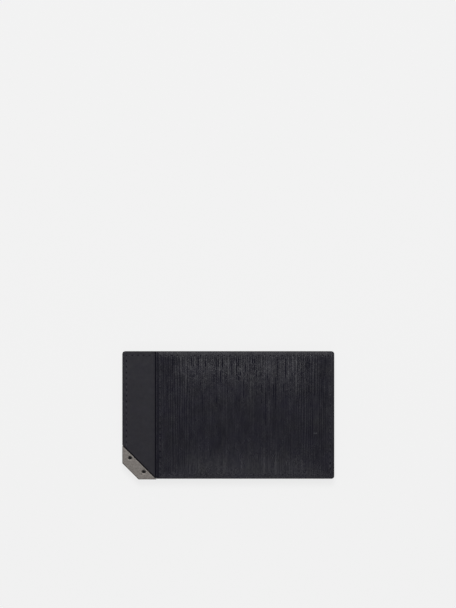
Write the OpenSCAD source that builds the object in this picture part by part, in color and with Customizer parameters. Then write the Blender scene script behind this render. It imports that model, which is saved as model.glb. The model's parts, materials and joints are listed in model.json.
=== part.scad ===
// Slim leather card case: two leaves hinged along the bottom edge, folded side gussets,
// card slots on the back, and a metal guard around one corner.
// It lies on its back: +Z out of the front face, +X to the right, +Y to the open top edge.

/* [Case] */
// Width of the leather body
case_w = 112.4; // [104:0.1:125]
// Height of the leather body, bottom edge to mouth
case_h = 67.6; // [62:0.1:80]
// Radius of the body's corners
corner_r = 1.5; // [0.8:0.1:4]
// Width of the smooth strip that the grained overlay leaves bare
strip_w = 17.9; // [17.5:0.1:22]

/* [Leather] */
// Thickness of the smooth outer panels
panel_t = 0.8; // [0.6:0.1:1.2]
// Thickness of the grained overlay along its seams
overlay_t = 0.9; // [0.6:0.1:1.4]
// How far the overlay swells inside its seams
overlay_swell = 0.9; // [0.2:0.1:1.2]
// Thickness of the stiffener boards
board_t = 0.4; // [0.3:0.1:0.8]
// Thickness of the linings
lining_t = 0.4; // [0.3:0.1:0.8]
// Thickness of the edge paint
paint_t = 0.3; // [0.1:0.1:0.5]

/* [Card slots] */
// Thickness of the pocket leather
pocket_t = 0.8; // [0.6:0.1:1.2]
// Depth of a card slot, for one card
slot_gap = 0.9; // [0.8:0.1:1.6]
// Width of the sewn-down margin beside and under a slot
seam_margin = 3.5; // [3:0.1:4]
// Distance from the top edge down to the upper pocket's mouth
upper_mouth = 11; // [8:0.5:16]
// Distance from the top edge down to the lower pocket's mouth
lower_mouth = 22; // [18:0.5:30]

/* [Main compartment] */
// Gap between the two linings when the case is closed
compartment_gap = 1.6; // [1.4:0.1:3]
// Thickness of the gusset leather
gusset_t = 0.5; // [0.4:0.1:0.6]
// Depth of the folded side gussets
gusset_depth = 9; // [8:0.5:9.5]
// Depth of the folded strip that hinges the leaves together
hinge_depth = 4; // [3:0.5:6]

/* [Metal corner] */
// Length of the bevelled corner that the guard cuts off
bevel_leg = 8.6; // [7:0.1:9]
// Thickness of the guard's face
guard_face_t = 0.6; // [0.4:0.1:0.7]
// Thickness of the guard's edge walls
guard_wall = 0.5; // [0.4:0.1:0.6]
// How far the guard stands below the leather's bottom edge
guard_proud = 0.4; // [0.2:0.1:0.8]
// How far the guard's face lies below the leather's surface
guard_sunk = 0.2; // [0.1:0.1:0.4]
// Gap between the guard and the diagonal cut in the leather
guard_gap = 0.35; // [0.2:0.05:0.6]
// Distance of each screw from the guard's nearer edge
screw_near = 4.05; // [3:0.05:5]
// Distance of each screw from the guard's farther edge
screw_far = 11.4; // [10:0.1:12]
// Radius of the screw heads
screw_head_r = 0.8; // [0.6:0.05:1]

/* [Stitching] */
// Distance from an edge to its seam
seam_inset = 2.15; // [1.8:0.05:2.6]
// Width of the thread
thread_w = 0.6; // [0.4:0.05:0.8]
// Depth that the thread is sunk into the leather
thread_sunk = 0.25; // [0.1:0.05:0.35]
// How far the thread stands out of the front leather
thread_proud = 0.1; // [0.05:0.05:0.2]

/* [Hidden] */

smooth_black = [0.19, 0.18, 0.20];
grain_black = [0.13, 0.12, 0.14];
lining_black = [0.09, 0.09, 0.10];
board_grey = [0.35, 0.34, 0.32];
paint_black = [0.08, 0.08, 0.09];
thread_black = [0.16, 0.16, 0.18];
gunmetal = [0.45, 0.43, 0.42];
screw_black = [0.07, 0.07, 0.07];

// Heights in a leaf, measured outward from the middle of the closed compartment
lining_z = compartment_gap / 2;
board_z = lining_z + lining_t;
panel_z = board_z + board_t;
skin_z = panel_z + panel_t;
overlay_top_z = skin_z + overlay_t;
upper_pocket_z = skin_z;
lower_pocket_z = upper_pocket_z + slot_gap + pocket_t;
back_face_z = lower_pocket_z + slot_gap + pocket_t;
backplate_z = lining_z - gusset_t;

// The case rests on its back pocket, so the compartment's middle is this high
mid_z = back_face_z;

// Outline of the leather and of the whole case with its guard
left_x = -case_w / 2;
right_x = case_w / 2;
bottom_y = -(case_h - guard_proud) / 2;
top_y = bottom_y + case_h;
guard_y = bottom_y - guard_proud;
overlay_x = left_x + strip_w;
overlay_w = case_w - strip_w;

// The guard's own corner is at left_x, guard_y, and its inner edge runs at 45 degrees
cut_leg = strip_w + guard_proud;
guard_leg = cut_leg - guard_gap;
bevel_in = bevel_leg + guard_wall * sqrt(2);
guard_top_z = skin_z - guard_sunk;
guard_face_z = guard_top_z - guard_face_t;
screw_spots = [[screw_near, screw_far], [screw_far, screw_near]];
shank_r = screw_head_r * 0.6;
screw_recess = 0.2;
socket_r = screw_head_r * 0.55;
countersink = 0.25;
fit_gap = 0.05;

// Seam lines of the front and the back
seam_left = left_x + seam_inset;
seam_right = right_x - seam_inset;
seam_top = top_y - seam_inset;
seam_bottom = bottom_y + seam_inset;
seam_overlay = overlay_x + seam_inset;
seam_guard = guard_y + cut_leg - seam_inset + thread_w;
gusset_clear = 0.3;
cut_over = 2;

// Puts a leaf's parts, drawn outward from the compartment's middle, on the front or the back
module on_front() {
    translate([0, 0, mid_z]) children();
}

module on_back() {
    translate([0, 0, mid_z]) mirror([0, 0, 1]) children();
}

module layer(z, t) {
    translate([0, 0, z]) linear_extrude(t) children();
}

module at_guard() {
    translate([left_x, guard_y]) children();
}

module at_screws() {
    at_guard() for (spot = screw_spots) translate(spot) children();
}

// Outline of the leather, drawn in from its edge by inset
module body_outline(inset = 0) {
    w = case_w - 2 * inset;
    h = case_h - 2 * inset;
    r = corner_r - inset;
    translate([0, (bottom_y + top_y) / 2]) {
        square([w - 2 * r, h], center = true);
        square([w, h - 2 * r], center = true);
        for (sx = [-1, 1], sy = [-1, 1])
            translate([sx * (w / 2 - r), sy * (h / 2 - r)]) circle(r = r, $fn = 32);
    }
}

// Everything on the guard's side of a diagonal that cuts both edges at leg
module corner_cut(leg) {
    at_guard() polygon([[-cut_over, -cut_over], [leg + cut_over, -cut_over],
                        [-cut_over, leg + cut_over]]);
}

// Outline of the part of a ply to the right of the smooth strip
module overlay_outline(inset, height) {
    intersection() {
        body_outline(inset);
        translate([overlay_x, bottom_y]) square([overlay_w, height]);
    }
}

module guard_outline() {
    at_guard() polygon([[0, bevel_leg], [bevel_leg, 0], [guard_leg, 0], [0, guard_leg]]);
}

module guard_inside(leg) {
    w = guard_wall;
    at_guard() polygon([[w, bevel_in - w], [bevel_in - w, w], [leg - w, w], [w, leg - w]]);
}

// Space that the guard's walls take out of the plies inside it
module guard_walls_space() {
    corner_cut(bevel_in);
    at_guard() {
        translate([-cut_over, 0]) square([cut_over + guard_wall, cut_leg]);
        translate([0, -cut_over]) square([cut_leg, cut_over + guard_wall]);
    }
}

// A straight run of thread between two points of a seam
module run(from, to) {
    low = [min(from.x, to.x), min(from.y, to.y)];
    high = [max(from.x, to.x), max(from.y, to.y)];
    translate(low - [thread_w, thread_w] / 2) square(high - low + [thread_w, thread_w]);
}

// The seam of a smooth panel beside the guard and up the strip
module strip_seam() {
    run([seam_left, seam_guard], [seam_left, seam_top]);
    run([seam_left, seam_top], [overlay_x - thread_w / 2, seam_top]);
}

module overlay_seam() {
    run([seam_overlay, seam_bottom], [seam_overlay, seam_top]);
    run([seam_overlay, seam_top], [seam_right, seam_top]);
    run([seam_right, seam_bottom], [seam_right, seam_top]);
    run([seam_overlay, seam_bottom], [seam_right, seam_bottom]);
}

// Both sides of a pocket between two heights, and a row across just under its mouth
module pocket_sides(low, mouth) {
    run([seam_overlay, low], [seam_overlay, mouth - thread_w / 2]);
    run([seam_right, low], [seam_right, mouth - thread_w / 2]);
}

module pocket_row(y) {
    run([seam_overlay, y], [seam_right, y]);
}

// The back panel's seam where the pockets leave it bare
module back_bare_seam() {
    pocket_sides(top_y - upper_mouth + thread_w / 2, seam_top);
    pocket_row(seam_top);
    run([overlay_x - thread_w / 2, seam_top], [seam_overlay, seam_top]);
}

module upper_pocket_seam() {
    pocket_sides(top_y - lower_mouth + thread_w / 2, top_y - upper_mouth);
    pocket_row(top_y - upper_mouth - seam_inset);
}

module lower_pocket_seam() {
    pocket_sides(seam_bottom, top_y - lower_mouth);
    pocket_row(top_y - lower_mouth - seam_inset);
    pocket_row(seam_bottom);
}

// Thread in its groove: the same runs cut the groove and fill it
module groove(face_z) {
    translate([0, 0, face_z - thread_sunk]) linear_extrude(cut_over) children();
}

module thread(face_z, proud) {
    color(thread_black) layer(face_z - thread_sunk, thread_sunk + proud) children();
}

// Plies that both leaves share
module smooth_panel(bare) {
    color(smooth_black) difference() {
        layer(panel_z, panel_t) difference() {
            body_outline(paint_t);
            corner_cut(cut_leg);
        }
        groove(skin_z) strip_seam();
        if (bare) groove(skin_z) back_bare_seam();
    }
}

module inner_ply(z, t) {
    difference() {
        layer(z, t) difference() {
            body_outline(paint_t);
            guard_walls_space();
        }
        at_screws() cylinder(r = shank_r + fit_gap, h = z + t + 1, $fn = 32);
    }
}

module stiffener() {
    color(board_grey) inner_ply(board_z, board_t);
}

module lining() {
    color(lining_black) inner_ply(lining_z, lining_t);
}

module paint_ring(z, t) {
    layer(z, t) difference() {
        body_outline();
        body_outline(paint_t);
        corner_cut(cut_leg);
    }
}

// Folded metal guard: a face on the leather's level and walls round the three outer edges
module corner_guard() {
    color(gunmetal) difference() {
        union() {
            layer(guard_face_z, guard_face_t) guard_outline();
            layer(backplate_z, guard_face_z - backplate_z) difference() {
                guard_outline();
                guard_inside(guard_leg + 2 * cut_over);
            }
        }
        at_screws() {
            translate([0, 0, guard_face_z - 1])
                cylinder(r = screw_head_r + fit_gap, h = guard_face_t + 2, $fn = 48);
            translate([0, 0, guard_top_z - countersink])
                cylinder(r1 = screw_head_r + fit_gap, r2 = screw_head_r + fit_gap + countersink,
                         h = countersink, $fn = 48);
        }
    }
}

module guard_backplate() {
    color(gunmetal) difference() {
        layer(backplate_z, gusset_t) guard_inside(guard_leg);
        at_screws() cylinder(r = shank_r + fit_gap, h = lining_z + 1, $fn = 32);
    }
}

module guard_screws() {
    head_top = guard_top_z - screw_recess;
    color(screw_black) at_screws() difference() {
        union() {
            translate([0, 0, backplate_z]) cylinder(r = shank_r, h = panel_z - backplate_z, $fn = 32);
            translate([0, 0, panel_z]) cylinder(r = screw_head_r, h = head_top - panel_z, $fn = 48);
        }
        translate([0, 0, head_top - screw_recess])
            cylinder(r = socket_r, h = screw_recess + 1, $fn = 6);
    }
}

// A pocket ply: its margins are drawn down onto the ply behind it, and it is open at the mouth
module card_pocket(z, mouth) {
    difference() {
        layer(z, slot_gap + pocket_t) overlay_outline(0, case_h - mouth);
        translate([overlay_x + seam_margin, bottom_y + seam_margin, z - 1])
            cube([overlay_w - 2 * seam_margin, case_h, slot_gap + 1]);
    }
}

// A gusset folded inward: two plies against the linings, joined by the fold at their inner edge
module gusset(low_y) {
    fold_h = 2 * (backplate_z + gusset_t);
    length = top_y - gusset_clear - low_y;
    color(smooth_black) difference() {
        translate([0, low_y, mid_z - fold_h / 2])
            cube([gusset_depth, length, fold_h]);
        translate([-1, low_y - 1, mid_z - backplate_z])
            cube([gusset_depth - gusset_t + 1, length + 2, 2 * backplate_z]);
    }
}

// Front leaf

module front_overlay() {
    color(grain_black) on_front() difference() {
        union() {
            layer(skin_z, overlay_t) overlay_outline(paint_t, case_h);
            layer(overlay_top_z, overlay_swell)
                translate([overlay_x + 2 * seam_inset, bottom_y + 2 * seam_inset])
                    square([overlay_w - 4 * seam_inset, case_h - 4 * seam_inset]);
        }
        groove(overlay_top_z) overlay_seam();
    }
}

module front_panel() {
    on_front() smooth_panel(false);
}

module front_stiffener() {
    on_front() stiffener();
}

module front_lining() {
    on_front() lining();
}

module front_edge_paint() {
    color(paint_black) on_front() {
        paint_ring(lining_z, skin_z - lining_z);
        intersection() {
            paint_ring(skin_z, overlay_t);
            layer(skin_z, overlay_t) overlay_outline(0, case_h);
        }
    }
}

module front_panel_thread() {
    on_front() thread(skin_z, thread_proud) strip_seam();
}

module front_overlay_thread() {
    on_front() thread(overlay_top_z, thread_proud) overlay_seam();
}

module front_corner_guard() {
    on_front() corner_guard();
}

module front_guard_backplate() {
    on_front() guard_backplate();
}

module front_guard_screws() {
    on_front() guard_screws();
}

// Back leaf

module back_panel() {
    on_back() smooth_panel(true);
}

module back_stiffener() {
    on_back() stiffener();
}

module back_lining() {
    on_back() lining();
}

module back_edge_paint() {
    color(paint_black) on_back() paint_ring(lining_z, skin_z - lining_z);
}

module back_panel_thread() {
    on_back() thread(skin_z, 0) {
        strip_seam();
        back_bare_seam();
    }
}

module upper_card_pocket() {
    color(grain_black) on_back() difference() {
        card_pocket(upper_pocket_z, upper_mouth);
        groove(lower_pocket_z) upper_pocket_seam();
    }
}

module upper_pocket_thread() {
    on_back() thread(lower_pocket_z, 0) upper_pocket_seam();
}

module lower_card_pocket() {
    color(grain_black) on_back() difference() {
        card_pocket(lower_pocket_z, lower_mouth);
        groove(back_face_z) lower_pocket_seam();
    }
}

module lower_pocket_thread() {
    on_back() thread(back_face_z, -fit_gap) lower_pocket_seam();
}

module back_corner_guard() {
    on_back() corner_guard();
}

module back_guard_backplate() {
    on_back() guard_backplate();
}

module back_guard_screws() {
    on_back() guard_screws();
}

// Between the leaves

module left_gusset() {
    translate([left_x + paint_t, 0, 0]) gusset(guard_y + cut_leg + gusset_clear);
}

module right_gusset() {
    translate([right_x - paint_t, 0, 0]) mirror([1, 0, 0]) gusset(bottom_y + gusset_clear);
}

// A strip folded outward at the bottom edge: the leaves turn about this fold
module bottom_hinge_strip() {
    start_x = left_x + cut_leg + gusset_clear;
    end_x = right_x - paint_t - gusset_depth - gusset_clear;
    fold_h = 2 * (backplate_z + gusset_t);
    color(smooth_black) difference() {
        translate([start_x, bottom_y + paint_t, mid_z - fold_h / 2])
            cube([end_x - start_x, hinge_depth, fold_h]);
        translate([start_x - 1, bottom_y + paint_t + gusset_t, mid_z - backplate_z])
            cube([end_x - start_x + 2, hinge_depth, 2 * backplate_z]);
    }
}

front_overlay();
front_panel();
front_stiffener();
front_lining();
front_edge_paint();
front_panel_thread();
front_overlay_thread();
front_corner_guard();
front_guard_backplate();
front_guard_screws();
back_panel();
back_stiffener();
back_lining();
back_edge_paint();
back_panel_thread();
upper_card_pocket();
upper_pocket_thread();
lower_card_pocket();
lower_pocket_thread();
back_corner_guard();
back_guard_backplate();
back_guard_screws();
left_gusset();
right_gusset();
bottom_hinge_strip();
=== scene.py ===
"""Looks of the leather card case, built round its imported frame.

Lengths are in metres and come from the frame's node boxes. A leaf is drawn with heights measured
outward from the middle of the closed compartment, then placed on the front or on the back.
"""

import json
import math

import bpy
import numpy as np
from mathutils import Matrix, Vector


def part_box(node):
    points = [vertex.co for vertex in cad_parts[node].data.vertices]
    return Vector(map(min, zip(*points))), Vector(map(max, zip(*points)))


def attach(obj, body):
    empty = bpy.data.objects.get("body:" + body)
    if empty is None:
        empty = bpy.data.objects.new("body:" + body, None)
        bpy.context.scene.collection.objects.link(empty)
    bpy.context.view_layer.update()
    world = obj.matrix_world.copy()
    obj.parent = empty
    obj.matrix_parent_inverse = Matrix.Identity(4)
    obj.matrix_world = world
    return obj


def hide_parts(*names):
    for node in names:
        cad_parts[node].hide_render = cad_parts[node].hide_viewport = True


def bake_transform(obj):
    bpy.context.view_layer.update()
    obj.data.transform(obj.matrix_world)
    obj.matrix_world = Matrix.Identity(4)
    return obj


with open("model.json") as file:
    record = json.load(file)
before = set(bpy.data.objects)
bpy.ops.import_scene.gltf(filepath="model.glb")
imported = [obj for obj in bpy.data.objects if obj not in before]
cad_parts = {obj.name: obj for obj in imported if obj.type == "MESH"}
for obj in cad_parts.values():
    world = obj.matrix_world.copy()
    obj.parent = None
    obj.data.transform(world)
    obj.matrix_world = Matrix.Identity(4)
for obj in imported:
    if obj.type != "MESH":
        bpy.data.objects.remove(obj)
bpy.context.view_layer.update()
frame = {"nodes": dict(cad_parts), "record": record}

MM = 0.001
FRONT, BACK = 1, -1
BODY = {FRONT: "front_leaf", BACK: "back_leaf"}

# Outline of the leather, and the levels of the plies in a leaf
ring_low, ring_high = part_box("back_edge_paint")
LEFT, RIGHT = ring_low.x, ring_high.x
BOTTOM, TOP = ring_low.y, ring_high.y
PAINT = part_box("back_panel")[0].x - LEFT
hinge_low, hinge_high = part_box("bottom_hinge_strip")
MID_Z = (hinge_low.z + hinge_high.z) / 2
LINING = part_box("front_lining")[0].z - MID_Z
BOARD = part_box("front_stiffener")[0].z - MID_Z
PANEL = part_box("front_panel")[0].z - MID_Z
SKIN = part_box("front_overlay")[0].z - MID_Z
OVERLAY_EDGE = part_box("front_edge_paint")[1].z - MID_Z
OVERLAY_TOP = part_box("front_overlay")[1].z - MID_Z
OVERLAY_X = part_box("front_overlay")[0].x
CORNER_R = 1.5 * MM

# The guard: its outer corner, the length its diagonal cuts off, and its bevel
guard_low, guard_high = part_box("front_corner_guard")
GUARD_X, GUARD_Y = guard_low.x, guard_low.y
GUARD_LEG = guard_high.x - guard_low.x
CUT_LEG = OVERLAY_X - LEFT + BOTTOM - GUARD_Y
GUARD_TOP = guard_high.z - MID_Z
GUARD_FOOT = guard_low.z - MID_Z
BEVEL_LEG = 8.6 * MM

# The seams
seam_low, seam_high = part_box("front_overlay_thread")
THREAD_W = 0.6 * MM
SEAM_X0, SEAM_X1 = seam_low.x + THREAD_W / 2, seam_high.x - THREAD_W / 2
SEAM_Y0, SEAM_Y1 = seam_low.y + THREAD_W / 2, seam_high.y - THREAD_W / 2
SEAM_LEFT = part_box("front_panel_thread")[0].x + THREAD_W / 2
SEAM_INSET = RIGHT - SEAM_X1
STITCH_PITCH = 3.08 * MM

# The pockets on the back
POCKET_T = 0.8 * MM
UPPER_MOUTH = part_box("upper_card_pocket")[1].y
LOWER_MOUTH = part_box("lower_card_pocket")[1].y
UPPER_TOP = MID_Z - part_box("upper_card_pocket")[0].z


# ---------------------------------------------------------------- noise and outlines


def noise(x, y, seed):
    """Smooth noise from -1 to 1, with features one unit across."""
    table = np.random.default_rng(seed).uniform(-1, 1, (128, 128))
    i, j = np.floor(x).astype(int), np.floor(y).astype(int)
    u, v = x - i, y - j
    u, v = u * u * (3 - 2 * u), v * v * (3 - 2 * v)
    i, j, ni, nj = i % 128, j % 128, (i + 1) % 128, (j + 1) % 128
    low = table[i, j] * (1 - u) + table[ni, j] * u
    high = table[i, nj] * (1 - u) + table[ni, nj] * u
    return low * (1 - v) + high * v


def box_depth(x, y, x0, y0, x1, y1, r):
    """How far inside a rounded rectangle a point lies; below 0 outside it."""
    qx = np.abs(x - (x0 + x1) / 2) - (x1 - x0) / 2 + r
    qy = np.abs(y - (y0 + y1) / 2) - (y1 - y0) / 2 + r
    outside = np.hypot(np.maximum(qx, 0), np.maximum(qy, 0))
    return r - outside - np.minimum(np.maximum(qx, qy), 0)


def diagonal_depth(x, y, leg):
    """How far a point lies from the guard's diagonal, on the side away from the corner."""
    return (x - GUARD_X + y - GUARD_Y - leg) / math.sqrt(2)


def body_depth(x, y, inset=0.0):
    return box_depth(x, y, LEFT, BOTTOM, RIGHT, TOP, CORNER_R) - inset


def panel_depth(x, y):
    return np.minimum(body_depth(x, y, PAINT), diagonal_depth(x, y, CUT_LEG))


def overlay_depth(x, y):
    return np.minimum(body_depth(x, y, PAINT), x - OVERLAY_X)


def guard_depth(x, y):
    """Depth inside the guard's outline, with its two screw holes cut out."""
    outline = np.minimum.reduce([x - GUARD_X, y - GUARD_Y, diagonal_depth(x, y, BEVEL_LEG),
                                 -diagonal_depth(x, y, GUARD_LEG)])
    return np.minimum(outline, screw_distance(x, y) - SCREW_HOLE_R)


def rolled(depth, r):
    """How far a rounded edge of radius r has dropped at this depth inside it."""
    inward = np.clip(r - depth, 0, r)
    return r - np.sqrt(r * r - inward * inward)


# ---------------------------------------------------------------- mesh making


def lines(low, high, step, fine, margin):
    """Grid lines from low to high, step apart, and fine apart within margin of either end."""
    edge = np.linspace(0, margin, max(2, round(margin / fine) + 1))
    middle = np.linspace(low + margin, high - margin, round((high - low - 2 * margin) / step) + 1)
    return np.concatenate([low + edge[:-1], middle, high - edge[::-1][1:]])


def mesh_object(name, points, faces, sharp=35.0):
    mesh = bpy.data.meshes.new(name)
    mesh.from_pydata(points.tolist(), [], faces)
    mesh.validate()
    mesh.shade_smooth()
    mesh.set_sharp_from_angle(angle=math.radians(sharp))
    obj = bpy.data.objects.new(name, mesh)
    bpy.context.collection.objects.link(obj)
    return obj


def place(x, y, height, side):
    """Points of the case from a leaf's heights."""
    return np.stack([x, y, MID_Z + side * height], axis=1)


def ring_of(edges):
    """The corners of a single closed outline, in order, from its directed edges."""
    ahead = dict(edges)
    rim = [min(ahead)]
    while ahead[rim[-1]] != rim[0]:
        rim.append(ahead[rim[-1]])
    return rim


def slab(name, xs, ys, depth, top, under, side):
    """A closed ply on a grid: depth gives its outline, top and under its two faces. An underside
    given as a plain height is flat, and one face covers it."""
    gx, gy = np.meshgrid(xs, ys, indexing="ij")
    step_x = np.broadcast_to(np.gradient(xs)[:, None], gx.shape).ravel()
    step_y = np.broadcast_to(np.gradient(ys)[None, :], gx.shape).ravel()
    x, y = gx.ravel().copy(), gy.ravel().copy()
    tiny = 0.01 * MM
    inside = None
    for turn in range(3):
        d = depth(x, y)
        nx = (depth(x + tiny, y) - depth(x - tiny, y)) / (2 * tiny)
        ny = (depth(x, y + tiny) - depth(x, y - tiny)) / (2 * tiny)
        if turn == 0:
            reach = 0.5 * (np.abs(nx) * step_x + np.abs(ny) * step_y) + 1e-9
            inside = d > -reach
            near = inside & (d < reach)
        x[near] -= (d * nx)[near]
        y[near] -= (d * ny)[near]
    rows, cols = len(xs), len(ys)
    ids = np.arange(rows * cols).reshape(rows, cols)
    corners = np.stack([ids[:-1, :-1], ids[1:, :-1], ids[1:, 1:], ids[:-1, 1:]], -1).reshape(-1, 4)
    count = inside[corners].sum(1)
    upper = corners[count == 4].tolist()
    upper += [[i for i in c if inside[i]] for c in corners[count == 3].tolist()]
    used = np.unique(np.concatenate([np.ravel(f) for f in upper]))
    number = np.full(rows * cols, -1)
    number[used] = np.arange(len(used))
    x, y = x[used], y[used]
    upper = [[int(number[i]) for i in f] for f in upper]
    n = len(used)
    edges = set()
    for f in upper:
        for a, b in zip(f, f[1:] + f[:1]):
            if (b, a) in edges:
                edges.remove((b, a))
            else:
                edges.add((a, b))
    d = np.maximum(depth(x, y), 0)
    upper_points = place(x, y, top(x, y, d), side)
    if callable(under):
        below = {i: i + n for i in range(n)}
        lower = [[i + n for i in reversed(f)] for f in upper]
        lower_points = place(x, y, under(x, y, d), side)
    else:
        rim = ring_of(edges)
        below = {i: n + k for k, i in enumerate(rim)}
        lower = [[below[i] for i in reversed(rim)]]
        lower_points = place(x[rim], y[rim], np.full(len(rim), under), side)
    walls = [[b, a, below[a], below[b]] for a, b in sorted(edges)]
    faces = upper + lower + walls
    if side == BACK:
        faces = [f[::-1] for f in faces]
    return mesh_object(name, np.concatenate([upper_points, lower_points]), faces)


def loft(rings):
    """Points and faces of a tube through rings of equal length, capped at both ends."""
    count, size = len(rings), len(rings[0])
    faces = []
    for r in range(count - 1):
        for k in range(size):
            a, b = r * size + k, r * size + (k + 1) % size
            c, d = (r + 1) * size + (k + 1) % size, (r + 1) * size + k
            faces.append([a, b, c, d])
    faces.append(list(range(size))[::-1])
    faces.append([(count - 1) * size + k for k in range(size)])
    return np.concatenate(rings), faces


def join(parts):
    """One point array and face list from several."""
    points, faces, start = [], [], 0
    for p, f in parts:
        points.append(p)
        faces += [[i + start for i in face] for face in f]
        start += len(p)
    return np.concatenate(points), faces


# ---------------------------------------------------------------- materials


def material(name, base, roughness, **sockets):
    """A Principled material with its constant values on the shader's own sockets."""
    mat = bpy.data.materials.new(name)
    mat.use_nodes = True
    shader = mat.node_tree.nodes["Principled BSDF"]
    shader.inputs["Base Color"].default_value = (*base, 1)
    shader.inputs["Roughness"].default_value = roughness
    for key, value in sockets.items():
        shader.inputs[key.replace("_", " ")].default_value = value
    return mat


class Nodes:
    """Short ways to add the nodes that the materials share."""

    def __init__(self, mat):
        self.tree = mat.node_tree
        self.shader = self.tree.nodes["Principled BSDF"]
        self.where = self.tree.nodes.new("ShaderNodeTexCoord").outputs["Object"]
        self.last_bump = None

    def add(self, kind, **values):
        node = self.tree.nodes.new(kind)
        for key, value in values.items():
            if key in node.inputs:
                node.inputs[key].default_value = value
            else:
                setattr(node, key, value)
        return node

    def link(self, a, b):
        self.tree.links.new(a, b)

    def noise(self, size, stretch=(1, 1, 1), detail=3.0, rough=0.55):
        """Noise whose features are about size across, stretched along an axis."""
        scale = self.add("ShaderNodeMapping")
        scale.inputs["Scale"].default_value = [1 / (size * s) for s in stretch]
        self.link(self.where, scale.inputs["Vector"])
        tex = self.add("ShaderNodeTexNoise", Scale=1.0, Detail=detail, Roughness=rough)
        self.link(scale.outputs["Vector"], tex.inputs["Vector"])
        return tex.outputs["Fac"]

    def cells(self, size, stretch=(1, 1, 1)):
        """Cells about size across, high in the middle of each."""
        scale = self.add("ShaderNodeMapping")
        scale.inputs["Scale"].default_value = [1 / (size * s) for s in stretch]
        self.link(self.where, scale.inputs["Vector"])
        tex = self.add("ShaderNodeTexVoronoi", Scale=1.0)
        self.link(scale.outputs["Vector"], tex.inputs["Vector"])
        return tex.outputs["Distance"]

    def spread(self, value, low, high):
        """The value's 0.25 to 0.75 spread over low to high."""
        node = self.add("ShaderNodeMapRange")
        node.inputs["From Min"].default_value = 0.25
        node.inputs["From Max"].default_value = 0.75
        node.inputs["To Min"].default_value = low
        node.inputs["To Max"].default_value = high
        self.link(value, node.inputs["Value"])
        return node.outputs["Result"]

    def tint(self, value, dark, light):
        """Colour from dark to light as the value goes from 0.3 to 0.7."""
        ramp = self.add("ShaderNodeValToRGB")
        ramp.color_ramp.elements[0].position = 0.3
        ramp.color_ramp.elements[1].position = 0.7
        ramp.color_ramp.elements[0].color = (*dark, 1)
        ramp.color_ramp.elements[1].color = (*light, 1)
        self.link(value, ramp.inputs["Fac"])
        self.link(ramp.outputs["Color"], self.shader.inputs["Base Color"])

    def rough(self, value, low, high):
        self.link(self.spread(value, low, high), self.shader.inputs["Roughness"])

    def bump(self, value, height, strength):
        """Adds relief of that height in metres on top of the bumps so far."""
        node = self.add("ShaderNodeBump", Strength=strength, Distance=height)
        self.link(value, node.inputs["Height"])
        if self.last_bump:
            self.link(self.last_bump, node.inputs["Normal"])
        self.last_bump = node.outputs["Normal"]
        self.link(self.last_bump, self.shader.inputs["Normal"])


def times(colour, k):
    return tuple(min(1.0, c * k) for c in colour)


def grain_leather():
    base = (0.0018, 0.0013, 0.0068)
    mat = material("grain_leather", base, 0.25, Specular_IOR_Level=0.5)
    n = Nodes(mat)
    blotch = n.noise(9 * MM)
    n.tint(blotch, times(base, 0.75), times(base, 1.3))
    n.rough(n.noise(2.2 * MM, (1, 3, 1)), 0.22, 0.29)
    n.bump(n.noise(0.5 * MM, (1, 4, 1), detail=2), 0.015 * MM, 0.45)
    n.bump(n.cells(0.3 * MM, (1, 1.6, 1)), 0.015 * MM, 0.35)
    return mat


def smooth_leather():
    base = (0.0024, 0.0017, 0.0068)
    mat = material("smooth_leather", base, 0.55, Specular_IOR_Level=0.28)
    n = Nodes(mat)
    n.tint(n.noise(6 * MM), times(base, 0.85), times(base, 1.15))
    n.rough(n.noise(1.5 * MM), 0.50, 0.62)
    n.bump(n.noise(1.3 * MM, detail=4), 0.04 * MM, 0.35)
    n.bump(n.cells(0.28 * MM), 0.02 * MM, 0.5)
    return mat


def lining_leather():
    base = (0.016, 0.016, 0.018)
    mat = material("lining", base, 0.75, Specular_IOR_Level=0.35, Sheen_Weight=0.15, Sheen_Roughness=0.5)
    n = Nodes(mat)
    n.tint(n.noise(4 * MM), times(base, 0.8), times(base, 1.25))
    n.rough(n.noise(0.8 * MM), 0.68, 0.82)
    n.bump(n.cells(0.45 * MM), 0.03 * MM, 0.6)
    return mat


def board():
    base = (0.03, 0.029, 0.028)
    mat = material("stiffener_board", base, 0.9)
    n = Nodes(mat)
    n.tint(n.noise(0.6 * MM, (1, 4, 1)), times(base, 0.8), times(base, 1.2))
    n.rough(n.noise(0.5 * MM), 0.85, 0.95)
    n.bump(n.noise(0.3 * MM, (3, 1, 1)), 0.03 * MM, 0.6)
    return mat


def edge_paint():
    base = (0.0050, 0.0046, 0.0068)
    mat = material("edge_paint", base, 0.6, Specular_IOR_Level=0.25)
    n = Nodes(mat)
    n.tint(n.noise(3 * MM), times(base, 0.8), times(base, 1.2))
    n.rough(n.noise(1.2 * MM), 0.55, 0.68)
    n.bump(n.noise(0.9 * MM, (1, 1, 0.4)), 0.03 * MM, 0.5)
    return mat


def thread():
    base = (0.022, 0.020, 0.028)
    mat = material("thread", base, 0.65, Specular_IOR_Level=0.35, Sheen_Weight=0.15, Sheen_Roughness=0.4)
    n = Nodes(mat)
    n.tint(n.noise(0.5 * MM), times(base, 0.7), times(base, 1.4))
    n.rough(n.noise(0.3 * MM), 0.58, 0.72)
    n.bump(n.noise(0.09 * MM, detail=2), 0.02 * MM, 0.7)
    return mat


def gunmetal():
    base = (0.148, 0.136, 0.127)
    mat = material("gunmetal", base, 0.42, Metallic=1.0)
    n = Nodes(mat)
    streaks = n.noise(0.12 * MM, (1, 22, 1), detail=4)
    n.tint(n.noise(0.6 * MM, detail=5), times(base, 0.78), times(base, 1.22))
    n.rough(streaks, 0.38, 0.50)
    n.bump(n.noise(1.0 * MM, detail=5, rough=0.7), 0.12 * MM, 0.7)
    return mat


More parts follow.
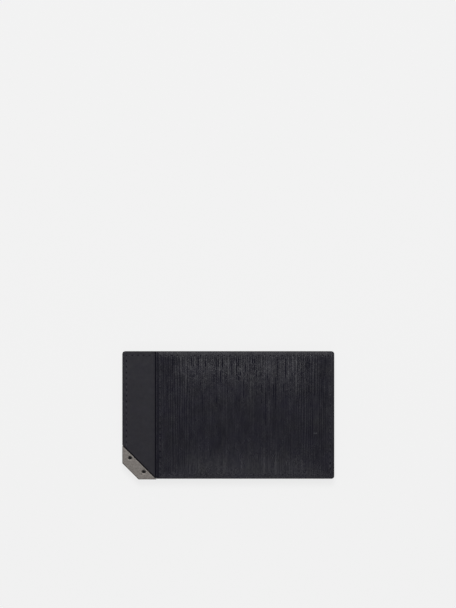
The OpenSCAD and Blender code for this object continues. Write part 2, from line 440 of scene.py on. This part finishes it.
def black_screw():
    base = (0.004, 0.004, 0.0045)
    mat = material("black_screw", base, 0.5, Specular_IOR_Level=0.15)
    n = Nodes(mat)
    n.tint(n.noise(0.4 * MM), times(base, 0.8), times(base, 1.3))
    n.rough(n.noise(0.3 * MM), 0.44, 0.58)
    n.bump(n.noise(0.15 * MM), 0.008 * MM, 0.5)
    return mat


MATERIALS = {"grain_leather": grain_leather(), "smooth_leather": smooth_leather(),
             "lining": lining_leather(), "stiffener_board": board(), "edge_paint": edge_paint(),
             "thread": thread(), "gunmetal": gunmetal(), "black_screw": black_screw()}
SLOT_OF = {s["node"]: s["material_slot"] for s in frame["record"]["subparts"]}


def finish_piece(obj, node, body=None):
    """Gives a piece its node's material, hides the node, and hangs the piece on its body."""
    name = SLOT_OF[node]
    obj.data.materials.append(MATERIALS[name])
    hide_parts(node)
    if body:
        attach(obj, body)
    return obj


# ---------------------------------------------------------------- leather faces

# Grid of a leather face: its spacing near the edges, and how far in from them that goes
FINE, MARGIN = 0.13 * MM, 3.0 * MM
ROLL = 0.16 * MM
SWELL = OVERLAY_TOP - OVERLAY_EDGE
RIDGE_PITCH_MM = 1.2
OVERLAY_RELIEF, POCKET_RELIEF = 0.125 * MM, 0.06 * MM
GRAIN_MEAN = 0.55
HOLE_R, HOLE_DEPTH, HOLE_SLOPE = 0.30 * MM, 0.34 * MM, 0.12 * MM


def grain(x, y, seed):
    """Relief of the grain, about 0 to 1: fine ridges up the case, parted by sharp creases."""
    mx, my = x / MM, y / MM
    wander = 0.50 * noise(mx / 3.4, my / 30, seed) + 0.22 * noise(mx / 1.3, my / 15, seed + 1)
    ridge = np.abs(np.cos(math.pi * (mx / RIDGE_PITCH_MM + wander)))
    full = np.clip(0.85 + 0.18 * noise(mx / 0.8, my / 7.0, seed + 2), 0.3, 1)
    return full * ridge + 0.09 * noise(mx / 0.6, my / 1.2, seed + 3)


def stitch_holes(off_seam, along):
    """The holes that the stitches leave along a seam."""
    to_hole = np.abs((along / STITCH_PITCH + 0.5) % 1 - 0.5) * STITCH_PITCH
    return HOLE_DEPTH * smooth((HOLE_R - np.hypot(off_seam, to_hole)) / HOLE_SLOPE)


def box_seam(x, y, x0, y0, x1, y1):
    """Holes of a rectangular seam whose stitches start at each run's first corner."""
    dx, dy = np.minimum(np.abs(x - x0), np.abs(x - x1)), np.minimum(np.abs(y - y0), np.abs(y - y1))
    in_x, in_y = (x > x0 - MM) & (x < x1 + MM), (y > y0 - MM) & (y < y1 + MM)
    across = np.where(in_y, stitch_holes(dx, y - y0), 0)
    level = np.where(in_x, stitch_holes(dy, x - x0), 0)
    return np.maximum(across, level)


def smooth(t):
    """0 to 1 with level ends as t goes from 0 to 1."""
    t = np.clip(t, 0, 1)
    return t * t * (3 - 2 * t)


def swell(x, y, x0, y0, x1, y1):
    """Pillow between the seams, 0 at them and 1 in the middle. It leaves the seams level."""
    u = np.abs(np.clip((x - (x0 + x1) / 2) / ((x1 - x0) / 2), -1, 1))
    v = np.clip((y - (y0 + y1) / 2) / ((y1 - y0) / 2), -1, 1)
    level_part, side_slope = 0.16, 0.42
    rise = 1 - np.abs(v)
    rise = (1 + level_part) * rise * rise / (rise + level_part)
    fullness = np.where(v > 0, 2.8, 2.2)
    up = 1 - (1 - rise) ** fullness
    return smooth((0.99 - u) / side_slope) * up


DROOP = 0.60 * MM


def droop(y):
    """How far the front leaf's outer face falls away towards the fold."""
    return DROOP * np.clip(-2 * (y - (TOP + BOTTOM) / 2) / (TOP - BOTTOM), 0, 1) ** 3


MARK_X, MARK_Y = RIGHT - 9.9 * MM, (TOP + BOTTOM) / 2 + 0.6 * MM
MARK_W, MARK_H = 2.6 * MM, 20.5 * MM
MARK_DEPTH, MARK_SLOPE = 0.05 * MM, 0.9 * MM


def pressed_mark(x, y):
    """A plain blank bar pressed into the leather: (its depth, how much grain it flattens)."""
    d = box_depth(x, y, MARK_X - MARK_W / 2, MARK_Y - MARK_H / 2, MARK_X + MARK_W / 2,
                  MARK_Y + MARK_H / 2, 0.6 * MM)
    inside = smooth(d / MARK_SLOPE + 0.5)
    return MARK_DEPTH * inside, inside


CREASE_IN, CREASE_DEPTH, CREASE_W = 0.98 * MM, 0.15 * MM, 0.23 * MM
TOP_FALL, RIGHT_FALL = 0.07 * MM, 0.05 * MM
LEDGE_DEPTH, LEDGE_W = 0.20 * MM, 0.7 * MM
TURNED_ROLL = 0.06 * MM
# How far the leather's outer faces lie under the flat ones of the solids
SETTLED = 0.02 * MM


def overlay_top(x, y, d):
    """Outer face of the overlay: its pillow, the fall of its margins towards the top and the
    right, the ledge down to the top seam, the crease beside its left edge, grain and holes."""
    pressed, flat = pressed_mark(x, y)
    seamed = np.clip((d + PAINT - SEAM_INSET) / (2 * MM), 0, 1)
    fuller = 1 + 0.35 * (2 * (y - BOTTOM) / (TOP - BOTTOM) - 1)
    relief = OVERLAY_RELIEF * fuller * (grain(x, y, 11) - GRAIN_MEAN)
    relief = relief * (0.3 + 0.7 * seamed) * (1 - 0.9 * flat)
    crease = CREASE_DEPTH * np.exp(-(((x - OVERLAY_X - CREASE_IN) / CREASE_W) ** 2))
    height = OVERLAY_EDGE - droop(y) + SWELL * swell(x, y, SEAM_X0, SEAM_Y0, SEAM_X1, SEAM_Y1)
    height = height - TOP_FALL * np.clip(1 - (TOP - y) / SEAM_INSET, 0, 1)
    height = height - RIGHT_FALL * np.clip(1 - (RIGHT - x) / SEAM_INSET, 0, 1)
    height = height - LEDGE_DEPTH * smooth((SEAM_Y1 - y) / LEDGE_W + 0.35)
    height = height - box_seam(x, y, SEAM_X0, SEAM_Y0, SEAM_X1, SEAM_Y1)
    edge = rolled(np.maximum(body_depth(x, y, PAINT), 0), ROLL) + rolled(x - OVERLAY_X, TURNED_ROLL)
    return height + relief - SETTLED - crease - pressed - edge


def front_overlay():
    xs = lines(OVERLAY_X, RIGHT - PAINT, 0.19 * MM, FINE, MARGIN)
    ys = lines(BOTTOM + PAINT, TOP - PAINT, 0.30 * MM, FINE, MARGIN)
    obj = slab("overlay", xs, ys, overlay_depth, overlay_top, SKIN, FRONT)
    finish_piece(obj, "front_overlay", BODY[FRONT])


def strip_seam(x, y):
    """Holes of the seam up the strip and along its top."""
    foot = GUARD_Y + CUT_LEG - SEAM_INSET
    up = np.where((y > foot) & (y < SEAM_Y1 + MM), stitch_holes(np.abs(x - SEAM_LEFT), SEAM_Y1 - y), 0)
    over = (x > SEAM_LEFT - MM) & (x < OVERLAY_X)
    along = np.where(over, stitch_holes(np.abs(y - SEAM_Y1), x - SEAM_LEFT), 0)
    return np.maximum(up, along)


DIP_DEPTH, DIP_W = 0.40 * MM, 1.2 * MM
GAP_DEPTH, GAP_W = 0.26 * MM, 0.5 * MM
RIPPLE, RIPPLE_SIZE = 0.02 * MM, 2.4 * MM


def panel_top(side):
    """Outer face of a smooth panel. The front one dips to the overlay, which covers its rest."""
    def top(x, y, d):
        ripple = RIPPLE * noise(x / RIPPLE_SIZE, y / RIPPLE_SIZE, 31)
        at_guard = rolled(np.clip(diagonal_depth(x, y, CUT_LEG), 0, None), 0.4 * MM)
        to_overlay = OVERLAY_X - x
        dip = DIP_DEPTH * np.exp(-np.clip(to_overlay, 0, None) / DIP_W)
        dip = (dip + GAP_DEPTH * smooth(1 - to_overlay / GAP_W)) * (to_overlay > 0)
        height = SKIN + ripple - SETTLED - strip_seam(x, y)
        if side == BACK:
            bare = box_seam(x, y, SEAM_X0, SEAM_Y0, SEAM_X1, SEAM_Y1) * (y > UPPER_MOUTH)
            return height - bare - rolled(d, ROLL / 2) - at_guard
        covered = np.where(to_overlay > 0, 0, 0.1 * MM)
        return height - dip - covered - rolled(d, ROLL / 2) - at_guard
    return top


def smooth_panel(side):
    node = "front_panel" if side == FRONT else "back_panel"
    strip = lines(LEFT + PAINT, OVERLAY_X + 0.6 * MM, 0.24 * MM, FINE, MARGIN)
    rest = np.linspace(OVERLAY_X + 0.6 * MM, RIGHT - PAINT, 120)
    xs = np.concatenate([strip, rest[1:]])
    ys = lines(BOTTOM + PAINT, TOP - PAINT, 0.24 * MM, FINE, MARGIN)
    obj = slab(node.replace("panel", "smooth_panel"), xs, ys, panel_depth, panel_top(side), PANEL, side)
    finish_piece(obj, node, BODY[side])


# ---------------------------------------------------------------- card pockets


CARD_GAP = (UPPER_TOP - SKIN) - POCKET_T
POCKET_SLOPE = 4.5 * MM


def card_pocket(node, base, mouth, seed):
    """A pocket ply: sewn down on three sides, standing a card's thickness off at its mouth."""
    def depth(x, y):
        return np.minimum.reduce([body_depth(x, y), x - OVERLAY_X, mouth - y])

    def rise(x, y):
        side_in = np.minimum(x - SEAM_X0, SEAM_X1 - x)
        low_in = y - SEAM_Y0
        return CARD_GAP * smooth(np.minimum(side_in, low_in) / POCKET_SLOPE)

    def top(x, y, d):
        seams = np.where(y < mouth, box_seam(x, y, SEAM_X0, SEAM_Y0, SEAM_X1, mouth + 9 * MM), 0)
        row = stitch_holes(np.abs(y - mouth + SEAM_INSET), x - SEAM_X0) * ((x > SEAM_X0) & (x < SEAM_X1))
        relief = POCKET_RELIEF * grain(x, y, seed) * np.clip((d - 0.6 * MM) / MM, 0.2, 1)
        drop = np.maximum(seams, row) + rolled(d, ROLL) + 0.08 * MM
        return base + POCKET_T + rise(x, y) + relief - drop

    def under(x, y, d):
        return base + rise(x, y) + 0.6 * rolled(d, ROLL) * (mouth - y < ROLL)

    xs = lines(OVERLAY_X, RIGHT, 0.36 * MM, FINE, MARGIN)
    ys = lines(BOTTOM, mouth, 0.36 * MM, FINE, MARGIN)
    obj = slab(node.replace("card_pocket", "pocket_ply"), xs, ys, depth, top, under, BACK)
    finish_piece(obj, node, BODY[BACK])


# ---------------------------------------------------------------- edge paint


def arc(cx, cy, start, end, steps=8):
    turn = np.radians(np.linspace(start, end, steps))
    return [(cx + CORNER_R * math.cos(a), cy + CORNER_R * math.sin(a), a) for a in turn]


def outline_path(first, last):
    """Points and outward angles along the outline, from first to last, counter-clockwise from the
    guard's foot on the bottom edge to its head on the left edge."""
    r = CORNER_R
    path = [(first, BOTTOM, math.radians(-90))] + arc(RIGHT - r, BOTTOM + r, -90, 0)
    path += [(RIGHT, y, 0.0) for y in np.linspace(BOTTOM + r, TOP - r, 14)[1:-1]]
    path += arc(RIGHT - r, TOP - r, 0, 90)
    if last == "overlay":
        return path + [(OVERLAY_X, TOP, math.radians(90))]
    path += arc(LEFT + r, TOP - r, 90, 180)
    return path + [(LEFT, GUARD_Y + CUT_LEG, math.radians(180))]


PLY_LINE = SKIN - 0.03 * MM
OVERLAY_PAINT_TOP = OVERLAY_EDGE - 0.26 * MM


def bead(path, low, high, creases, side, fall=lambda y: 0 * y):
    """A rounded bead of paint along a path, dented where two plies meet. Its top may fall."""
    r = min(0.28 * MM, (high - low) / 2)
    tucked_in = -PAINT - 0.1 * MM
    dent, dent_w = 0.06 * MM, 0.09 * MM
    profile = [(tucked_in, low)]
    profile += [(-r + r * math.sin(t), low + r - r * math.cos(t)) for t in np.radians([0, 30, 60, 90])]
    for z in creases:
        profile += [(0, z - dent_w), (-dent, z), (0, z + dent_w)]
    profile += [(-r + r * math.cos(t), high - r + r * math.sin(t)) for t in np.radians([0, 30, 60, 90])]
    profile += [(tucked_in, high)]
    rings = []
    for x, y, a in path:
        out = np.array([p[0] for p in profile])
        z = np.array([p[1] for p in profile])
        z = z - fall(y) * (z - low) / (high - low)
        rings.append(place(x + out * math.cos(a), y + out * math.sin(a), z, side))
    points, faces = loft(rings)
    if side == FRONT:
        faces = [f[::-1] for f in faces]
    return points, faces


def painted_edge(side):
    node = "front_edge_paint" if side == FRONT else "back_edge_paint"
    core = outline_path(GUARD_X + CUT_LEG, "guard")
    parts = [bead(core, LINING, PLY_LINE, [BOARD, PANEL], side)]
    if side == FRONT:
        around = outline_path(OVERLAY_X, "overlay")
        parts.append(bead(around, PLY_LINE, OVERLAY_PAINT_TOP, [], side, droop))
    obj = mesh_object(node.replace("edge_paint", "painted_edge"), *join(parts))
    finish_piece(obj, node, BODY[side])


# ---------------------------------------------------------------- stitches

STITCH_R = 0.22 * MM
STITCH_DIVE = 0.42 * MM
STITCH_SLANT = 0.22 * MM
PLY_TWIST = 2.2 * math.pi
# How far the middle of a thread lies under the face that it is sewn through. It is deeper on the
# lowest pocket, which the case rests on, and the strip's thread lies a little above its face.
THREAD_SINK = 0.06 * MM
LOWEST_THREAD_SINK = 0.19 * MM
OVERLAY_THREAD_SINK = 0.32 * MM
STRIP_THREAD_SINK = -0.01 * MM


def stitch(start, end, level, side):
    """One stitch: two plies twisted together, diving into the leather at both ends. Its middle
    lies at the level given."""
    start, end = np.array(start, float), np.array(end, float)
    way = (end - start) / np.linalg.norm(end - start)
    across = np.array([-way[1], way[0]])
    rings = []
    for t in np.linspace(0, 1, 11):
        spot = start + (end - start) * (0.06 + 0.88 * t) + across * STITCH_SLANT * (t - 0.5)
        lift = level - STITCH_DIVE * abs(2 * t - 1) ** 3
        ring = []
        for k in range(10):
            a = 2 * math.pi * k / 10
            r = STITCH_R * (0.80 + 0.20 * math.cos(2 * (a - PLY_TWIST * t)))
            flat = spot + across * r * math.cos(a)
            ring.append((flat[0], flat[1], lift + 0.85 * r * math.sin(a)))
        ring = np.array(ring)
        rings.append(place(ring[:, 0], ring[:, 1], ring[:, 2], side))
    points, faces = loft(rings)
    if side == FRONT:
        faces = [f[::-1] for f in faces]
    return points, faces


def run(start, end, level, side):
    """Stitches from start to end, as near to the pitch as fits; level is a height or a function."""
    start, end = np.array(start, float), np.array(end, float)
    length = np.linalg.norm(end - start)
    count = max(1, round(length / STITCH_PITCH))
    made = []
    for k in range(count):
        a, b = start + (end - start) * k / count, start + (end - start) * (k + 1) / count
        height = level(*(a + b) / 2) if callable(level) else level
        made.append(stitch(a, b, height, side))
    return made


def sew(name, node, runs, side):
    obj = mesh_object(name, *join([s for r in runs for s in run(*r, side)]), sharp=70)
    finish_piece(obj, node, BODY[side])


def front_stitches():
    def level(_, y):
        return OVERLAY_EDGE - OVERLAY_THREAD_SINK - droop(y)

    corners = [(SEAM_X0, SEAM_Y0), (SEAM_X0, SEAM_Y1), (SEAM_X1, SEAM_Y1), (SEAM_X1, SEAM_Y0)]
    runs = [(a, b, level) for a, b in zip(corners, corners[1:] + corners[:1])]
    sew("overlay_stitches", "front_overlay_thread", runs, FRONT)
    sew("strip_stitches", "front_panel_thread", strip_runs(), FRONT)


def strip_runs():
    level = SKIN - STRIP_THREAD_SINK
    foot = GUARD_Y + CUT_LEG - SEAM_INSET + THREAD_W
    return [((SEAM_LEFT, SEAM_Y1), (SEAM_LEFT, foot), level),
            ((SEAM_LEFT, SEAM_Y1), (OVERLAY_X - 0.2 * MM, SEAM_Y1), level)]


def back_stitches():
    skin, upper = SKIN - THREAD_SINK, SKIN + POCKET_T - THREAD_SINK
    lower = UPPER_TOP + POCKET_T - LOWEST_THREAD_SINK

    def row(base, mouth):
        y = mouth - SEAM_INSET

        def level(x, _):
            return base + CARD_GAP * smooth(min(x - SEAM_X0, SEAM_X1 - x) / POCKET_SLOPE)
        return ((SEAM_X0, y), (SEAM_X1, y), level)

    def sides(low, high, level):
        return [((x, low), (x, high), level) for x in (SEAM_X0, SEAM_X1)]

    bare = [((OVERLAY_X - 0.2 * MM, SEAM_Y1), (SEAM_X1, SEAM_Y1), skin)]
    bare += sides(UPPER_MOUTH, SEAM_Y1, skin)
    sew("back_panel_stitches", "back_panel_thread", strip_runs() + bare, BACK)
    sew("upper_pocket_stitches", "upper_pocket_thread",
        sides(LOWER_MOUTH, UPPER_MOUTH, upper) + [row(upper, UPPER_MOUTH)], BACK)
    sew("lower_pocket_stitches", "lower_pocket_thread",
        sides(SEAM_Y0, LOWER_MOUTH, lower)
        + [row(lower, LOWER_MOUTH), ((SEAM_X0, SEAM_Y0), (SEAM_X1, SEAM_Y0), lower)], BACK)


# ---------------------------------------------------------------- metal corner

screws_low, screws_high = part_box("front_guard_screws")
SCREW_R = 0.8 * MM
SCREW_HOLE_R = SCREW_R + 0.05 * MM
COUNTERSINK = 0.14 * MM
COUNTERSINK_W = 0.45 * MM
screw_x0, screw_x1 = screws_low.x + SCREW_R, screws_high.x - SCREW_R
screw_y0, screw_y1 = screws_low.y + SCREW_R, screws_high.y - SCREW_R
SCREW_SPOTS = [(screw_x0, screw_y1), (screw_x1, screw_y0)]


def screw_distance(x, y):
    return np.minimum.reduce([np.hypot(x - sx, y - sy) for sx, sy in SCREW_SPOTS])


def corner_guard(side):
    """The folded metal corner: rounded bends on the outside, a crisp inner edge, sunk holes."""
    bend = 0.35 * MM
    face_t = 0.6 * MM

    def outer(x, y):
        return np.minimum.reduce([x - GUARD_X, y - GUARD_Y, diagonal_depth(x, y, BEVEL_LEG)])

    def top(x, y, d):
        sink = COUNTERSINK * np.clip(1 - (screw_distance(x, y) - SCREW_HOLE_R) / COUNTERSINK_W, 0, 1) ** 2
        inner = rolled(np.maximum(-diagonal_depth(x, y, GUARD_LEG), 0), 0.12 * MM)
        return GUARD_TOP - rolled(np.maximum(outer(x, y), 0), bend) - inner - sink

    def under(x, y, d):
        wall = outer(x, y) < 0.5 * MM
        return np.where(wall, GUARD_FOOT, GUARD_TOP - face_t)

    step = 0.12 * MM
    xs = np.arange(GUARD_X - step, GUARD_X + GUARD_LEG + 2 * step, step)
    ys = np.arange(GUARD_Y - step, GUARD_Y + GUARD_LEG + 2 * step, step)
    node = "front_corner_guard" if side == FRONT else "back_corner_guard"
    obj = slab(node.replace("corner_guard", "metal_corner"), xs, ys, guard_depth, top, under, side)
    finish_piece(obj, node, BODY[side])


def screws(side):
    """Black socket screws: a domed rim round a six-sided recess."""
    head_top = screws_high.z - MID_Z
    foot = screws_low.z - MID_Z
    turn = np.linspace(0, 2 * math.pi, 36, endpoint=False)
    hexagon = 0.52 * MM * math.cos(math.pi / 6) / np.cos((turn % (math.pi / 3)) - math.pi / 6)
    disc = np.ones_like(turn)
    shank = 0.48 * MM * disc
    rim = SCREW_R * disc
    rings = [(shank, foot), (shank, PANEL), (rim, PANEL + 0.01 * MM), (rim, head_top - 0.08 * MM),
             (0.93 * rim, head_top - 0.02 * MM), (0.86 * rim, head_top), (hexagon * 1.08, head_top),
             (hexagon, head_top - 0.03 * MM), (hexagon * 0.97, head_top - 0.45 * MM),
             (0.12 * MM * disc, head_top - 0.50 * MM)]
    parts = []
    for sx, sy in SCREW_SPOTS:
        made = [place(sx + r * np.cos(turn), sy + r * np.sin(turn), z + 0 * turn, side) for r, z in rings]
        points, faces = loft(made)
        parts.append((points, faces if side == FRONT else [f[::-1] for f in faces]))
    node = "front_guard_screws" if side == FRONT else "back_guard_screws"
    obj = mesh_object(node.replace("guard_screws", "socket_screws"), *join(parts))
    finish_piece(obj, node, BODY[side])


# ---------------------------------------------------------------- folded leather between the leaves


def folded_strip(name, node, width, along_low, along_high, fold_out, place_at):
    """A strip folded on itself between the leaves. It is blended while it is flat, so that the
    leather turns evenly from the back leaf to the front leaf, and folded afterwards.
    place_at(depth, along, height) gives points of the case."""
    low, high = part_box(node)
    half = (high.z - low.z) / 2
    thick = 0.5 * MM
    mid = half - thick / 2
    bend_r = mid if fold_out else mid * 0.75
    flat = width - bend_r
    around = math.pi * bend_r
    total = 2 * flat + around
    steps = 44
    s = np.linspace(0, total, steps)
    depth, height, lean = np.zeros(steps), np.zeros(steps), np.zeros(steps)
    for k, arc_at in enumerate(s):
        if arc_at < flat:
            share = arc_at / flat
            depth[k], height[k], lean[k] = flat * share, -mid + (mid - bend_r) * share ** 2, -90
        elif arc_at < flat + around:
            a = -math.pi / 2 + (arc_at - flat) / bend_r
            depth[k], height[k] = flat + bend_r * math.cos(a), bend_r * math.sin(a)
            lean[k] = math.degrees(a)
        else:
            share = (total - arc_at) / flat
            depth[k], height[k], lean[k] = flat * share, mid - (mid - bend_r) * share ** 2, 90
    lean = np.radians(lean)
    half_t = thick / 2
    skin = [(depth + half_t * np.cos(lean), height + half_t * np.sin(lean)),
            (depth - half_t * np.cos(lean), height - half_t * np.sin(lean))]
    loop_d = np.concatenate([skin[0][0], skin[1][0][::-1]])
    loop_h = np.concatenate([skin[0][1], skin[1][1][::-1]])
    loop_s = np.concatenate([s, s[::-1]])
    rows = np.linspace(along_low, along_high, 48)
    rings = [place_at(loop_d, np.full_like(loop_d, at), loop_h) for at in rows]
    points, faces = loft(rings)
    flat_points = points.copy()
    flat_points[:, 2] = np.tile(loop_s, len(rows))
    obj = mesh_object(name, flat_points, faces, sharp=50)
    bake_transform(obj)
    obj.data.vertices.foreach_set("co", points.astype(np.float32).ravel())
    obj.data.update()
    return finish_piece(obj, node)


def gussets_and_hinge():
    left_low, left_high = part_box("left_gusset")
    right_low, right_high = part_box("right_gusset")
    width = left_high.x - left_low.x

    def upright(z):
        return MID_Z + z
    folded_strip("left_side_gusset", "left_gusset", width, left_low.y, left_high.y, False,
                 lambda d, at, h: np.stack([left_low.x + d, at, upright(h)], 1))
    folded_strip("right_side_gusset", "right_gusset", width, right_low.y, right_high.y, False,
                 lambda d, at, h: np.stack([right_high.x - d, at, upright(h)], 1))
    fold_width = hinge_high.y - hinge_low.y
    folded_strip("bottom_fold", "bottom_hinge_strip", fold_width, hinge_low.x, hinge_high.x, True,
                 lambda d, at, h: np.stack([at, hinge_high.y - d, upright(h)], 1))


# ---------------------------------------------------------------- the set

FRAME_HIGH = 322.24 * MM
CAMERA_X, CAMERA_Y = -0.14 * MM, 59.07 * MM


def camera():
    """Straight above, from far enough that the lens flattens it; the case is low in the frame."""
    cam = bpy.data.cameras.new("camera")
    cam.sensor_width, cam.lens = 36, 200
    distance = FRAME_HIGH * cam.lens / cam.sensor_width
    obj = bpy.data.objects.new("camera", cam)
    obj.location = (CAMERA_X, CAMERA_Y, MID_Z + OVERLAY_EDGE + distance)
    cam.clip_end = 10
    bpy.context.collection.objects.link(obj)
    bpy.context.scene.camera = obj


FLOOR_GLOW = 0.798


def floor():
    """A pale, evenly lit ground just under the case."""
    half, level = 3.0, -0.02 * MM
    points = np.array([(-half, -half, level), (half, -half, level), (half, half, level),
                       (-half, half, level)])
    obj = mesh_object("floor", points, [[0, 1, 2, 3]])
    mat = material("floor", (0.09, 0.09, 0.09), 0.9, Specular_IOR_Level=0.0, Emission_Color=(1, 1, 1, 1),
                   Emission_Strength=FLOOR_GLOW)
    n = Nodes(mat)
    n.rough(n.noise(40 * MM), 0.88, 0.92)
    obj.data.materials.append(mat)


SOFTBOX = 0.5
KEY_AT, KEY_POWER = (0, 0.61, 1.37), 17.4
FILL_AT, FILL_POWER = (0, -0.63, 1.36), 2.3
ROOM_STRENGTH = 0.16


def area_light(name, place_at, power):
    """A square softbox that faces the case."""
    lamp = bpy.data.lights.new(name, "AREA")
    lamp.shape, lamp.size, lamp.energy = "SQUARE", SOFTBOX, power
    obj = bpy.data.objects.new(name, lamp)
    obj.location = place_at
    away = obj.location.normalized()
    obj.rotation_euler = away.to_track_quat("Z", "Y").to_euler()
    bpy.context.collection.objects.link(obj)


def lights():
    world = bpy.data.worlds.new("room")
    world.use_nodes = True
    shade = world.node_tree.nodes["Background"]
    shade.inputs["Color"].default_value = (1, 1, 1, 1)
    shade.inputs["Strength"].default_value = ROOM_STRENGTH
    bpy.context.scene.world = world
    bpy.context.scene.view_settings.view_transform = "Standard"
    area_light("key", KEY_AT, KEY_POWER)
    area_light("fill", FILL_AT, FILL_POWER)


def keep_cad_nodes():
    """The CAD nodes that stay get their slot's material."""
    for node in ("front_lining", "front_stiffener", "front_guard_backplate", "back_lining",
                 "back_stiffener", "back_guard_backplate"):
        obj = frame["nodes"][node]
        obj.data.materials.clear()
        obj.data.materials.append(MATERIALS[SLOT_OF[node]])


camera()
front_overlay()
card_pocket("upper_card_pocket", SKIN, UPPER_MOUTH, 41)
card_pocket("lower_card_pocket", UPPER_TOP, LOWER_MOUTH, 51)
for leaf_side in (FRONT, BACK):
    smooth_panel(leaf_side)
    painted_edge(leaf_side)
    corner_guard(leaf_side)
    screws(leaf_side)
front_stitches()
back_stitches()
gussets_and_hinge()
keep_cad_nodes()
floor()
lights()
